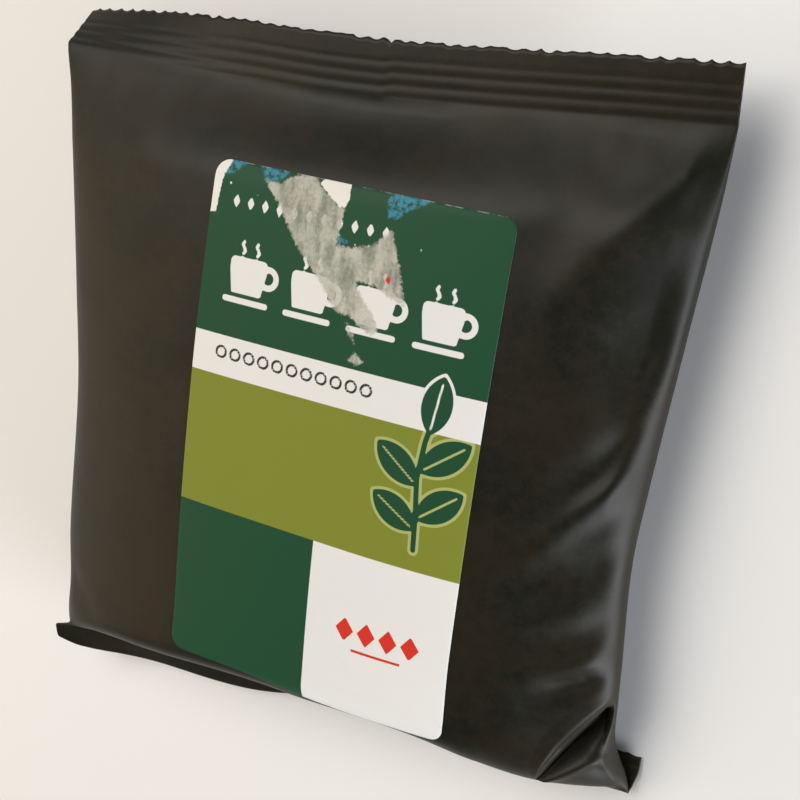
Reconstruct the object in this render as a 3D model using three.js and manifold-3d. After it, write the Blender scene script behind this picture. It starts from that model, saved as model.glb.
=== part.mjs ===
// A shut pillow bag of ground coffee, lying on its back with its paper label up.
// Millimetres. X runs across the bag, Y from the folded bottom seal to the open fin of the top seal,
// and Z up from the surface that it lies on. The origin is under the middle of the whole bag.
// The bag is one closed body: a front and a back sheet of film that meet along both sides and in
// two crimped fins. The label is a thin sheet of its own, a hair above the film.

import * as THREE from "three";
import Module from "manifold-3d";
import { mergeVertices } from "three/addons/utils/BufferGeometryUtils.js";

// Film and fins
const FLAT_HALF_WIDTH = 67;
const FIN_LENGTH = 10.6;
const TRIM_ALLOWANCE = 1.4;
const FOOT_TRIM = 3;
const FIN_THICKNESS = 0.6;
const RIB_PITCH = 2.15;
const RIB_COUNT = 3;
const RIB_DEPTH = 0.28;
const RIB_FADE = 0.9;
const TOOTH_PITCH = 2.9;
const TOOTH_DEPTH = 0.9;
const FOLD_LENGTH = 2.6;
const FOLD_ANGLE = 172;
const SEAM_CENTRE_X = 3;
const SEAM_HALF_WIDTH = 5.5;
const SEAM_EDGE = 1.5;
const SEAM_PROUD = 0.45;

// Lengthwise section of the filled part
const SIDE_HEIGHT = 12;
const CREST_HEIGHT = 25.55;
const CREST_Y = -9.2;
const CREST_FALL = 2.46;
const CREST_SPAN = 50;
const NOSE_Y = -50;
const NOSE_REACH = 11.2;
const NOSE_HEIGHT = 12.5;
const NOSE_DROP = 11.4;
const NOSE_POWER = 2.4;
const NOSE_START_ANGLE = -28;
const SHOULDER_Y = 43;
const SHOULDER_HOLLOW = 0.5;
const BACK_RISE_FOOT = 25;
const BACK_RISE_HEAD = 34;
const BACK_SINK = 1.2;
const FOOT_RISE_SHARE = 0.2;
const HEAD_RISE_SHARE = 0.55;

// Crosswise section: 1 in the middle, 0 along the sides
const SECTION_POWER = 3;
const SECTION_ROOT = 0.55;
const SIDE_FADE = 0.06;

// Values that change from the left side (-1) to the right side (1): each seal's place and height, each
// fin's lean, plain web, length and sideways swing, and how far the nose is tucked in
const HEAD_SEAL_Y = [[-1, 63.4], [-0.7, 62.0], [-0.4, 61.4], [0, 60.8], [0.4, 61.6], [0.7, 62.6], [1, 63.5]];
const HEAD_SEAL_Z = [[-1, 12.4], [0, 13.2], [1, 12.6]];
const HEAD_LEAN = [[-1, 50], [-0.86, 38], [-0.68, 24], [-0.5, 10], [-0.3, 2], [0, 0], [0.6, -4], [1, -9]];
const FOOT_SEAL_Y = [
  [-1, -64.3], [-0.8, -62], [-0.4, -61.2], [0, -59.8], [0.3, -60], [0.6, -62], [0.8, -63.9], [1, -65],
];
const FOOT_SEAL_Z = [[-1, 11.8], [-0.75, 8.6], [-0.3, 6], [0, 5.2], [0.4, 4.4], [1, 3.5]];
const FOOT_LEAN = [[-1, 12], [-0.7, 20], [-0.3, 12], [0, 26], [0.25, 80], [0.5, 95], [1, 95]];
const FOOT_WEB = [
  [-1, 2.6], [-0.93, 5.2], [-0.82, 7.2], [-0.6, 7.9], [-0.4, 7.8], [-0.25, 7.4], [-0.1, 5.7], [0.05, 3],
  [0.2, 0.6], [1, 0.4],
];
const NO_WEB = [[-1, 0], [1, 0]];
const HEAD_CUT = [[-1, FIN_LENGTH + TRIM_ALLOWANCE], [1, FIN_LENGTH + TRIM_ALLOWANCE]];
const FOOT_CUT = [
  [-1, FIN_LENGTH], [0.3, FIN_LENGTH], [0.85, FIN_LENGTH - FOOT_TRIM], [1, FIN_LENGTH - FOOT_TRIM],
];
const NO_SWING = [[-1, 0], [1, 0]];
const FOOT_SWING = [[-1, 5], [-0.8, 1.5], [-0.6, 0], [0.7, 0], [1, 0.9]];
const SWING_REACH = 5;
const NOSE_TUCK = [
  [-1, 1.2], [-0.8, 2.8], [-0.6, 3.5], [-0.35, 4.1], [-0.15, 3.3], [0, 2.2], [0.15, 1.9], [0.42, 1.6],
  [0.6, 0.4], [0.75, 0], [1, 0],
];

// Half width of the filled part, from the bottom seal (0) to the top seal (1)
const LEFT_SIDE = [
  [0, 67.6], [0.01, 64.2], [0.03, 63.3], [0.1, 62.5], [0.2, 63.1], [0.45, 61.8], [0.6, 62.7], [0.9, 65.4],
  [1, 67],
];
const RIGHT_SIDE = [
  [0, 64.5], [0.03, 63.5], [0.07, 61.8], [0.1, 61.3], [0.16, 61.7], [0.2, 61.7], [0.38, 60.7], [0.5, 61.7],
  [0.72, 64.4], [0.9, 66.7], [1, 67.5],
];

// Creases and dents of the front sheet: two ends, half width, and depth below the smooth form
const CREASES = [
  { from: [47.5, -64.5], to: [64.5, -41], halfWidth: 2.6, depth: 4.6 },
  { from: [68, 62], to: [38, 26], halfWidth: 5.5, depth: -1.1 },
  { from: [66, 44], to: [52, 10], halfWidth: 7, depth: 1.6 },
  { from: [64, 10], to: [46, -2], halfWidth: 4.5, depth: 1.1 },
  { from: [62, -12], to: [36, -24], halfWidth: 5, depth: 1.3 },
  { from: [62, -24], to: [38, -33], halfWidth: 5, depth: -0.9 },
  { from: [62, -33], to: [44, -44], halfWidth: 5, depth: 1.4 },
  { from: [-66, 58], to: [-40, 34], halfWidth: 6, depth: 0.9 },
  { from: [-30, 56], to: [30, 56], halfWidth: 7, depth: 1.0 },
];

// Label
const LABEL_CENTRE = [3.7, -4.35];
const LABEL_TURN = -2.25;
const LABEL_WIDTH = 60;
const LABEL_LENGTH = 100.9;
const LABEL_THICKNESS = 0.3;
const LABEL_GAP = 0.3;
const LABEL_CORNER = 2.8;
const LABEL_SLACK = [[-30, 1.1], [-14, 0.75], [-4, -0.2], [9, -1.4], [18, -1.3], [30, -0.4]];
const CORNER_STEP = 0.38 * LABEL_CORNER;
const PLACING_STEPS = 24;
const PLACING_DAMPING = 0.6;

// The knife that cuts the top fin: how far it reaches past the sides, its lowest point and its height
const KNIFE_REACH = 1.2 * FLAT_HALF_WIDTH;
const KNIFE_FOOT = -20;
const KNIFE_HEIGHT = 60;

// The middle of the whole bag, counted from where the seals' measures start
const MIDDLE_X = -0.05;
const MIDDLE_Y = 1.8;

// How finely each sheet is divided
const BAG_COLUMNS = 44;
const NOSE_ROWS = 9;
const BODY_ROWS = 26;
const LABEL_COLUMNS = 12;
const LABEL_ROWS = 24;
const FOLD_STEP = 0.2;
const WEB_ROWS = 2;
const EVEN_SHARE = 0.45;
const MERGE_DISTANCE = 1e-4;

const radians = THREE.MathUtils.degToRad;
const lerp = THREE.MathUtils.lerp;
const smoothstep = THREE.MathUtils.smoothstep;

// A smooth curve through a few stations [place, value]
function through(stations, place) {
  const last = stations.length - 1;
  let i = 0;
  while (i < last - 1 && place > stations[i + 1][0]) i += 1;
  const slope = (k) => {
    const a = stations[Math.max(k - 1, 0)];
    const b = stations[Math.min(k + 1, last)];
    return (b[1] - a[1]) / (b[0] - a[0]);
  };
  const [p0, v0] = stations[i];
  const [p1, v1] = stations[i + 1];
  const span = p1 - p0;
  const t = THREE.MathUtils.clamp((place - p0) / span, 0, 1);
  const t2 = t * t;
  const t3 = t2 * t;
  return (2 * t3 - 3 * t2 + 1) * v0 + (t3 - 2 * t2 + t) * span * slope(i)
    + (3 * t2 - 2 * t3) * v1 + (t3 - t2) * span * slope(i + 1);
}

// Share of the half width at an even step along the film, closer together near the sides
function across(step) {
  return lerp(Math.sin((Math.PI / 2) * step), step, EVEN_SHARE);
}

function section(u) {
  return (1 - Math.abs(u) ** SECTION_POWER) ** SECTION_ROOT;
}

// The back's long lap seam: 1 on the lapped strip, 0 beside it
function seam(x) {
  return 1 - smoothstep(Math.abs(x - SEAM_CENTRE_X), SEAM_HALF_WIDTH - SEAM_EDGE, SEAM_HALF_WIDTH);
}

// The corrugation that the sealing jaws press into a fin, at a distance from the seal's inner line
function rib(distance) {
  if (distance > RIB_PITCH * RIB_COUNT) return 0;
  return -RIB_DEPTH * Math.cos((2 * Math.PI * distance) / RIB_PITCH);
}

// The sheet between the two sides, with no thickness: both film sheets bulge away from it
function chordPoint(u, t) {
  const side = u < 0 ? LEFT_SIDE : RIGHT_SIDE;
  const fromFoot = smoothstep(t, 0, FOOT_RISE_SHARE);
  const toHead = smoothstep(t, HEAD_RISE_SHARE, 1);
  const height = lerp(SIDE_HEIGHT, through(HEAD_SEAL_Z, u), toHead);
  return new THREE.Vector3(
    u * through(side, t),
    lerp(through(FOOT_SEAL_Y, u), through(HEAD_SEAL_Y, u), t),
    lerp(through(FOOT_SEAL_Z, u), height, fromFoot),
  );
}

// Front sheet's middle line: a blunt nose over the bottom seal, then a long low crest
function noseLine(share) {
  const angle = radians(lerp(NOSE_START_ANGLE, 90, share));
  const reach = Math.cos(angle) ** (2 / NOSE_POWER);
  const rise = Math.sign(angle) * Math.abs(Math.sin(angle)) ** (2 / NOSE_POWER);
  const drop = angle < 0 ? NOSE_DROP : crestHeight(NOSE_Y) - NOSE_HEIGHT;
  return [NOSE_Y - NOSE_REACH * reach, NOSE_HEIGHT + drop * rise];
}

function crestHeight(y) {
  const full = CREST_HEIGHT - CREST_FALL * ((y - CREST_Y) / CREST_SPAN) ** 2;
  const sealY = through(HEAD_SEAL_Y, 0);
  const share = THREE.MathUtils.clamp((y - SHOULDER_Y) / (sealY - SHOULDER_Y), 0, 1);
  const fall = lerp(share ** 2, smoothstep(share, 0, 1), SHOULDER_HOLLOW);
  return lerp(full, through(HEAD_SEAL_Z, 0), fall);
}

// Back sheet's middle line: clear of the folded fin, flat on the surface, then up to the top seal
function backHeight(y) {
  const foot = through(FOOT_SEAL_Y, 0);
  const head = through(HEAD_SEAL_Y, 0);
  const down = smoothstep(y, foot, foot + BACK_RISE_FOOT);
  const up = smoothstep(y, head - BACK_RISE_HEAD, head);
  const low = lerp(through(FOOT_SEAL_Z, 0), -BACK_SINK, down);
  return lerp(low, through(HEAD_SEAL_Z, 0), up);
}

function creaseDepth(x, y) {
  let depth = 0;
  for (const crease of CREASES) {
    const [ax, ay] = crease.from;
    const [bx, by] = crease.to;
    const length = Math.hypot(bx - ax, by - ay);
    const along = ((x - ax) * (bx - ax) + (y - ay) * (by - ay)) / length ** 2;
    const aside = ((x - ax) * (by - ay) - (y - ay) * (bx - ax)) / length;
    if (along <= 0 || along >= 1) continue;
    depth += crease.depth * Math.sin(Math.PI * along) * Math.exp(-((aside / crease.halfWidth) ** 2));
  }
  return depth;
}

// Rows of the filled part: where each lies between the seals, and its two middle-line points
const bodyRows = [];
const footY = through(FOOT_SEAL_Y, 0);
const headY = through(HEAD_SEAL_Y, 0);
const noseEnd = (NOSE_Y - footY) / (headY - footY);
for (let k = 0; k < NOSE_ROWS; k += 1) {
  const t = (noseEnd * k) / NOSE_ROWS;
  const y = lerp(footY, headY, t);
  bodyRows.push({ t, front: noseLine(k / NOSE_ROWS), back: [y, backHeight(y)] });
}
for (let k = 0; k <= BODY_ROWS; k += 1) {
  const t = lerp(noseEnd, 1, k / BODY_ROWS);
  const y = lerp(footY, headY, t);
  bodyRows.push({ t, front: [y, crestHeight(y)], back: [y, backHeight(y)] });
}

// A point of the filled part's front or back sheet
function bodyPoint(u, row, isFront) {
  const point = chordPoint(u, row.t);
  const middle = chordPoint(0, row.t);
  const line = isFront ? row.front : row.back;
  const fullness = section(u);
  point.y += fullness * (line[0] - middle.y);
  point.z += fullness * (line[1] - middle.z);
  if (isFront) {
    const reach = Math.max(0, NOSE_Y - line[0]) / NOSE_REACH;
    point.y += fullness * reach * through(NOSE_TUCK, u);
    const fade = Math.min(1, (1 - Math.abs(u)) / SIDE_FADE);
    point.z -= fade * creaseDepth(point.x, point.y);
    point.z += FIN_THICKNESS / 2;
  } else {
    point.z = Math.max(0, point.z - seam(point.x) * SEAM_PROUD - FIN_THICKNESS / 2);
  }
  return point;
}

// A point of a fin that leaves the filled part over a plain web and may fold back there.
// The row's distance counts from the web's end, and its webShare from the web's start.
function finPoint(u, row, isFront) {
  const { fin } = row;
  const seal = chordPoint(u, fin.t);
  const lean = radians(through(fin.lean, u));
  const web = through(fin.web, u);
  const distance = row.isCut ? through(fin.cut, u) : row.distance;
  const length = web * row.webShare + distance;
  seal.x += through(fin.swing, u) * smoothstep(distance, 0, SWING_REACH);
  const steps = Math.ceil(length / FOLD_STEP);
  let angle = lean;
  for (let k = 0; k < steps; k += 1) {
    const middle = (length * (k + 0.5)) / steps;
    const folded = fin.folds ? smoothstep(middle, web, web + FOLD_LENGTH) : 0;
    angle = lerp(lean, radians(FOLD_ANGLE), folded);
    seal.y += (fin.outward * Math.cos(angle) * length) / steps;
    seal.z -= (Math.sin(angle) * length) / steps;
  }
  const half = FIN_THICKNESS / 2;
  const corrugation = row.webShare < 1 ? 0 : rib(distance);
  const offset = corrugation + (isFront ? half : -half - seam(seal.x) * SEAM_PROUD);
  seal.y += fin.outward * Math.sin(angle) * offset;
  seal.z += Math.cos(angle) * offset;
  return seal;
}

// Outward is +1 or -1 along Y
const HEAD_FIN = {
  t: 1, lean: HEAD_LEAN, web: NO_WEB, folds: false, outward: 1, cut: HEAD_CUT, swing: NO_SWING,
};
const FOOT_FIN = {
  t: 0, lean: FOOT_LEAN, web: FOOT_WEB, folds: true, outward: -1, cut: FOOT_CUT, swing: FOOT_SWING,
};

// Rows of a fin, outwards from the filled part: its web, one on each ridge and groove, the plain border
function finRows(fin) {
  const rows = [];
  const webRows = fin.folds ? WEB_ROWS : 0;
  for (let k = 0; k < webRows; k += 1) rows.push({ fin, webShare: k / webRows, distance: 0 });
  for (let k = 0; k <= 2 * RIB_COUNT; k += 1) {
    rows.push({ fin, webShare: 1, distance: (k * RIB_PITCH) / 2 });
  }
  rows.push({ fin, webShare: 1, distance: RIB_PITCH * RIB_COUNT + RIB_FADE });
  rows.push({ fin, webShare: 1, isCut: true });
  return rows;
}

// A box divided into columns and rows whose corners are then moved; positions alone, shared corners
function dividedSheet(columns, rows) {
  const box = new THREE.BoxGeometry(2, 1, 2, columns, rows, 1);
  box.deleteAttribute("normal");
  box.deleteAttribute("uv");
  return mergeVertices(box, MERGE_DISTANCE);
}

function bagGeometry() {
  const filled = bodyRows.slice(1, -1).map((body) => ({ body }));
  const rows = [...finRows(FOOT_FIN).reverse(), ...filled, ...finRows(HEAD_FIN)];
  const sheet = dividedSheet(BAG_COLUMNS, rows.length - 1);
  const corners = sheet.getAttribute("position");
  for (let i = 0; i < corners.count; i += 1) {
    const u = across(corners.getX(i));
    const row = rows[Math.round((corners.getY(i) + 0.5) * (rows.length - 1))];
    const isFront = corners.getZ(i) > 0;
    const point = row.fin ? finPoint(u, row, isFront) : bodyPoint(u, row.body, isFront);
    corners.setXYZ(i, point.x, point.y, point.z);
  }
  return sheet;
}

// The zigzag strip that the knife takes off beyond the top fin's cut edge
function knifeGeometry() {
  const outline = new THREE.Shape();
  const teeth = Math.ceil((2 * KNIFE_REACH) / TOOTH_PITCH);
  const cutY = (x) => {
    const u = THREE.MathUtils.clamp(x / FLAT_HALF_WIDTH, -1, 1);
    return through(HEAD_SEAL_Y, u) + FIN_LENGTH * Math.cos(radians(through(HEAD_LEAN, u)));
  };
  outline.moveTo(-KNIFE_REACH, cutY(-KNIFE_REACH) + 2 * FIN_LENGTH);
  for (let k = 0; k < teeth; k += 1) {
    const left = -KNIFE_REACH + k * TOOTH_PITCH;
    const middle = left + TOOTH_PITCH / 2;
    outline.lineTo(left, cutY(left));
    outline.lineTo(middle, cutY(middle) - TOOTH_DEPTH);
  }
  outline.lineTo(KNIFE_REACH, cutY(KNIFE_REACH));
  outline.lineTo(KNIFE_REACH, cutY(KNIFE_REACH) + 2 * FIN_LENGTH);
  const knife = new THREE.ExtrudeGeometry(outline, { depth: KNIFE_HEIGHT, bevelEnabled: false });
  knife.translate(0, 0, KNIFE_FOOT);
  knife.deleteAttribute("normal");
  knife.deleteAttribute("uv");
  return mergeVertices(knife, MERGE_DISTANCE);
}

const wasm = await Module();
wasm.setup();

function toSolid(geometry) {
  return new wasm.Manifold(new wasm.Mesh({
    numProp: 3,
    vertProperties: new Float32Array(geometry.getAttribute("position").array),
    triVerts: new Uint32Array(geometry.getIndex().array),
  }));
}

function toGeometry(solid) {
  const mesh = solid.getMesh();
  const geometry = new THREE.BufferGeometry();
  geometry.setAttribute("position", new THREE.BufferAttribute(new Float32Array(mesh.vertProperties), 3));
  geometry.setIndex(new THREE.BufferAttribute(new Uint32Array(mesh.triVerts), 1));
  return geometry;
}

// Height of the front sheet at a place under the label, found by stepping towards that place
function frontHeight(x, y) {
  let u = x / FLAT_HALF_WIDTH;
  let place = (y - footY) / (headY - footY);
  let point;
  for (let k = 0; k < PLACING_STEPS; k += 1) {
    point = bodyPoint(u, rowAt(place), true);
    u += (PLACING_DAMPING * (x - point.x)) / FLAT_HALF_WIDTH;
    place += (PLACING_DAMPING * (y - point.y)) / (headY - footY);
  }
  return point.z;
}

// The row at any place between the seals, found between the nose's start and the top seal
function rowAt(place) {
  const y = lerp(footY, headY, place);
  if (place >= noseEnd) return { t: place, front: [y, crestHeight(y)] };
  return { t: place, front: noseLine(place / noseEnd) };
}

// The label's outline has round corners: a square corner block is drawn in to a quarter disc
function roundCorner(x, y) {
  const innerX = LABEL_WIDTH / 2 - LABEL_CORNER;
  const innerY = LABEL_LENGTH / 2 - LABEL_CORNER;
  const dx = Math.abs(x) - innerX;
  const dy = Math.abs(y) - innerY;
  if (dx <= 0 || dy <= 0) return [x, y];
  const shrink = Math.max(dx, dy) / Math.hypot(dx, dy);
  return [Math.sign(x) * (innerX + dx * shrink), Math.sign(y) * (innerY + dy * shrink)];
}

// Even steps along a side with two extra ones inside each corner block
function labelStep(share, size) {
  const inner = size / 2 - LABEL_CORNER;
  const lines = size === LABEL_WIDTH ? LABEL_COLUMNS : LABEL_ROWS;
  const index = Math.round((share + 0.5) * lines);
  if (index === 0 || index === lines) return Math.sign(share) * (size / 2);
  if (index === 1 || index === lines - 1) return Math.sign(share) * (size / 2 - CORNER_STEP);
  return lerp(-inner, inner, (index - 2) / (lines - 4));
}

// How far the label's lower part is drawn up or down where it was pressed round the nose
function labelSlack(x, y) {
  const below = Math.max(0, (-2 * y) / LABEL_LENGTH);
  return through(LABEL_SLACK, x) * below ** 2;
}

function labelGeometry() {
  const sheet = dividedSheet(LABEL_COLUMNS, LABEL_ROWS);
  const corners = sheet.getAttribute("position");
  const turn = radians(LABEL_TURN);
  for (let i = 0; i < corners.count; i += 1) {
    const [x, y] = roundCorner(
      labelStep(corners.getX(i) / 2, LABEL_WIDTH),
      labelStep(corners.getY(i), LABEL_LENGTH),
    );
    const bagX = LABEL_CENTRE[0] + x * Math.cos(turn) - y * Math.sin(turn);
    const bagY = LABEL_CENTRE[1] + x * Math.sin(turn) + y * Math.cos(turn) + labelSlack(x, y);
    const lift = LABEL_GAP + (corners.getZ(i) > 0 ? LABEL_THICKNESS : 0);
    corners.setXYZ(i, bagX, bagY, frontHeight(bagX, bagY) + lift);
  }
  return sheet;
}

const film = new THREE.MeshStandardMaterial({ color: 0x2b2823, roughness: 0.48, metalness: 0 });
const paper = new THREE.MeshStandardMaterial({ color: 0x1d5b43, roughness: 0.55, metalness: 0 });

const bag = new THREE.Mesh(toGeometry(toSolid(bagGeometry()).subtract(toSolid(knifeGeometry()))), film);
bag.name = "bag";

const label = new THREE.Mesh(labelGeometry(), paper);
label.name = "label";

const group = new THREE.Group();
group.add(bag, label);
group.position.set(-MIDDLE_X, -MIDDLE_Y, 0);

export default group;
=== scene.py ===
"""A shut pillow bag of ground coffee with a worn paper label, lying on its back on a pale floor.

Sizes are in millimetres until a mesh is placed, which is in metres. X runs across the bag, Y from the
folded bottom fin to the cut edge of the top fin, and Z up from the floor.
"""

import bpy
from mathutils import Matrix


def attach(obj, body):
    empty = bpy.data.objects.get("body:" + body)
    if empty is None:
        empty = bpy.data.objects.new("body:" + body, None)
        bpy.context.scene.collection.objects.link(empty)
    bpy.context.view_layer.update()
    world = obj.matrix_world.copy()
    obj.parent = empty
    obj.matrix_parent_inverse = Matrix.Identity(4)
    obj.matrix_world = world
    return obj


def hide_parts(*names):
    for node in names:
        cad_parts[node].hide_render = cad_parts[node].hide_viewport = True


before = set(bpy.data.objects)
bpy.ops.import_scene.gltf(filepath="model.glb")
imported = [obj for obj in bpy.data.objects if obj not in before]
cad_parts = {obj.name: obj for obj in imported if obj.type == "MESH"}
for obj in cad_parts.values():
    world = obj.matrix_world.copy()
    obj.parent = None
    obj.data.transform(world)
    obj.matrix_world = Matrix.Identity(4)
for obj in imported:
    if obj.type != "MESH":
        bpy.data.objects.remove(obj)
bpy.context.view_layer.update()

import math

import bmesh
import bpy
import numpy as np
from mathutils import Matrix, Vector, noise

bl_info = {
    "name": "Coffee bag",
    "version": (1, 0, 0),
    "blender": (4, 5, 0),
    "location": "View3D > Sidebar > Coffee bag",
    "description": "Models a sealed coffee bag in matte film with a worn paper label",
    "category": "Add Mesh",
}

MM = 0.001

# Bag film and its crimped fins
FLAT_HALF_WIDTH = 67
FIN_LENGTH = 10.6
FOOT_TRIM = 3
FILM_HALF = 0.3
FIN_HALF = 0.22
RIB_PITCH = 2.15
RIB_COUNT = 3
RIB_FADE = 0.9
PLAIN_BORDER = 0.6
RIB_SHARPNESS = 1.7
RIB_RISE = 0.6
RIB_HOLD = 0.2
RIB_JOG = 0.5
JOG_REACH = (0.5, 2.5)
TOOTH_PITCH = 2.95
TOOTH_ROUNDNESS = 0.8
TOOTH_MEAN = 0.8
TOOTH_SPREAD = 0.8
TOOTH_STEP = 5.3
TOOTH_DRIFT = 0.3
DRIFT_LENGTH = 7
NICK_X = 4.6
NICK_HALF_WIDTH = 0.6
FOLD_LENGTH = 2.6
FOLD_ANGLE = 172
FOLD_STEP = 0.1
SEAM_CENTRE_X = 3
SEAM_HALF_WIDTH = 5.5
SEAM_EDGE = 0.8
SEAM_PROUD = 0.45

# Lengthwise section of the filled part
SIDE_HEIGHT = 12
CREST_HEIGHT = 25.55
CREST_Y = -9.2
CREST_FALL = 2.46
CREST_SPAN = 50
NOSE_Y = -50
NOSE_REACH = 11.2
NOSE_HEIGHT = 12.5
NOSE_DROP = 11.4
NOSE_POWER = 2.4
NOSE_START_ANGLE = -28
SHOULDER_Y = 43
SHOULDER_HOLLOW = 0.5
BACK_RISE_FOOT = 25
BACK_RISE_HEAD = 34
BACK_SINK = 1.2
FOOT_RISE_SHARE = 0.2
HEAD_RISE_SHARE = 0.55

# Crosswise section: 1 in the middle, 0 along the sides
SECTION_POWER = 3
SECTION_ROOT = 0.55
EVEN_SHARE = 0.45

# Values that change from the left side (-1) to the right side (1): each seal's place and height, each
# fin's lean, plain web, length and sideways swing, and how far the nose is tucked in
HEAD_SEAL_Y = [(-1, 63.4), (-0.7, 62.0), (-0.4, 61.4), (0, 60.8), (0.4, 61.6), (0.7, 62.6), (1, 63.5)]
HEAD_SEAL_Z = [(-1, 12.4), (0, 13.2), (1, 12.6)]
HEAD_LEAN = [(-1, 50), (-0.86, 38), (-0.68, 24), (-0.5, 10), (-0.3, 2), (0, 0), (0.6, -4), (1, -9)]
FOOT_SEAL_Y = [
    (-1, -64.3), (-0.8, -62), (-0.4, -61.2), (0, -59.8), (0.3, -60), (0.6, -62), (0.8, -63.9), (1, -65),
]
FOOT_SEAL_Z = [(-1, 11.8), (-0.75, 8.6), (-0.3, 6), (0, 5.2), (0.4, 4.4), (1, 3.5)]
FOOT_LEAN = [(-1, 12), (-0.7, 20), (-0.3, 12), (0, 26), (0.25, 80), (0.5, 95), (1, 95)]
FOOT_WEB = [
    (-1, 2.6), (-0.93, 5.2), (-0.82, 7.2), (-0.6, 7.9), (-0.4, 7.8), (-0.25, 7.4), (-0.1, 5.7), (0.05, 3),
    (0.2, 0.6), (1, 0.4),
]
LEVEL = [(-1, 0), (1, 0)]
HEAD_CUT = [(-1, FIN_LENGTH), (1, FIN_LENGTH)]
FOOT_CUT = [
    (-1, FIN_LENGTH), (0.3, FIN_LENGTH), (0.85, FIN_LENGTH - FOOT_TRIM), (1, FIN_LENGTH - FOOT_TRIM),
]
FOOT_SWING = [(-1, 5), (-0.8, 1.5), (-0.6, 0), (0.7, 0), (1, 0.9)]
SWING_REACH = 5
NOSE_TUCK = [
    (-1, 1.2), (-0.8, 2.8), (-0.6, 3.5), (-0.35, 4.1), (-0.15, 3.3), (0, 2.2), (0.15, 1.9), (0.42, 1.6),
    (0.6, 0.4), (0.75, 0), (1, 0),
]

# Half width of the filled part, from the bottom seal (0) to the top seal (1)
LEFT_SIDE = [
    (0, 67.6), (0.01, 64.2), (0.03, 63.3), (0.1, 62.5), (0.2, 63.1), (0.45, 61.8), (0.6, 62.7), (0.9, 65.4),
    (1, 67),
]
RIGHT_SIDE = [
    (0, 64.5), (0.03, 63.5), (0.07, 61.8), (0.1, 61.3), (0.16, 61.7), (0.2, 61.7), (0.38, 60.7), (0.5, 61.7),
    (0.72, 64.4), (0.9, 66.7), (1, 67.5),
]

# Creases of the front sheet: first end, last end, half width, and depth below the smooth form
CREASES = [
    ((68, 62), (38, 26), 5.5, -1.1),
    ((66, 44), (52, 10), 7, 1.6),
    ((64, 10), (46, -2), 4.5, 1.1),
    ((62, -12), (36, -24), 5, 1.3),
    ((62, -24), (38, -33), 5, -0.9),
    ((62, -33), (44, -44), 5, 1.4),
    ((-66, 58), (-40, 34), 6, 0.9),
    ((-30, 56), (30, 56), 7, 1.0),
    ((68, 63), (49, 41), 2.8, -0.6),
    ((64, 7), (50, -6), 1.8, -0.5),
    ((63, 14), (54, 6), 1.6, 0.4),
    ((67, -29), (45, -39), 2.0, -1.5),
    ((66, -25), (38, -33), 2.8, 1.6),
    ((66, 24), (55, -5), 2.8, -0.9),
    ((62, 5), (41, -18), 3.0, -1.0),
    ((60, 16), (50, -4), 4, 0.5),
    ((61, -36), (50, -41), 1.4, 0.3),
    ((60, -4), (48, -12), 2.2, 0.35),
    ((-64, -44), (-48, -56), 3.0, 0.5),
]
SIDE_FADE = 0.09
SEAL_FADE = 0.01

# Kinds of soft unevenness: wavelength, seed, height, and below 1 how far the waves are drawn out along Y
ROLLING = (16, 1.5, 0.55)
RIPPLES = (9, 4.5, 1.5, 1.15)
RIPPLE_SLANT = (0.45, 0.25)
FINE = (5.5, 7.5, 0.25)
PUCKER = (4.5, 10.5, 0.4, 0.22)
BACK_ROLLING = (11, 20.5, 0.8)
BACK_PUCKER = (5, 24.5, 1.3, 0.25)
RIB_WAVER = (14, 30.5, 0.16, 0.2)
FIN_WAVE = (21, 33.5, 0.25, 0.4)
FIN_WAVE_REACH = (1, 9)
RESIDUE_LUMPS = (3.1, 63.5, 0.6)

# Where the film is uneven: share of the half width, place between the seals, and distance to the label
RIGHT_RIPPLES = (0.35, 0.85)
LEFT_RIPPLES = (0.55, 0.95)
LEFT_RIPPLE_SHARE = 1 / 3
RIGHT_FINE_GAIN = 1.4
FRONT_PUCKERS = (0.10, 0.8)
BACK_PUCKERS = (0.15, 0.75)
PUCKERS_FULL = 0.97
CALM_BY_LABEL = (-0.5, 5)

# The deep fold pushed into the lower right corner, and the rim of the facet under it
FOLD_FOOT = (48.9, -61.8)
FOLD_HEAD = (62.6, -39.8)
FOLD_PROFILE = [
    (-5.0, 0), (-3.2, -0.2), (-2.2, -0.35), (-1.6, -0.15), (-0.9, 0.75), (-0.1, 1.3), (0.6, 2.2),
    (1.3, 3.8), (2.0, 4.5), (2.6, 3.9), (3.3, 2.5), (4.0, 1.2), (4.8, 0.4), (5.6, 0.05), (8.0, 0),
]
FOLD_ROUNDNESS = 0.7
FOLD_FADE = 0.02
FOLD_PUSH = (0.20, -0.30, 0.93)
FACET_RIM = [(50.7, -61.0), (54.5, -58.3), (58.1, -56.0), (60.2, -55.6), (61.7, -57.7), (62.8, -60.2)]
FACET_RIM_WIDTH = 1.3
FACET_RIM_HEIGHT = 0.75

# How finely the film is divided
FILM_COLUMNS = 228
NOSE_ROWS = 36
CREST_ROWS = 84
WEB_ROWS = 5
RIB_ROWS = 20
BORDER_ROWS = 4
FOLD_FIELD_START = (44, -36)
FOLD_FIELD_CUTS = 2

# Label
LABEL_CENTRE = (3.7, -4.35)
LABEL_TURN = math.radians(-2.25)
LABEL_WIDTH = 60
LABEL_LENGTH = 100.9
LABEL_CORNER = 2.8
LABEL_SLACK = [(-30, 1.1), (-14, 0.75), (-4, -0.2), (9, -1.4), (18, -1.3), (30, -0.4)]
LABEL_UV = 10.0
LABEL_COLUMNS = 150
LABEL_ROWS = 250
PLACE_STEPS = 24
PLACE_DAMPING = 0.6
RESIDUE_MEAN = 0.7
RESIDUE_SLOPE = (-0.2, 0.5)
TORN_SLOPE = (-0.1, 0.15)

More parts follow.
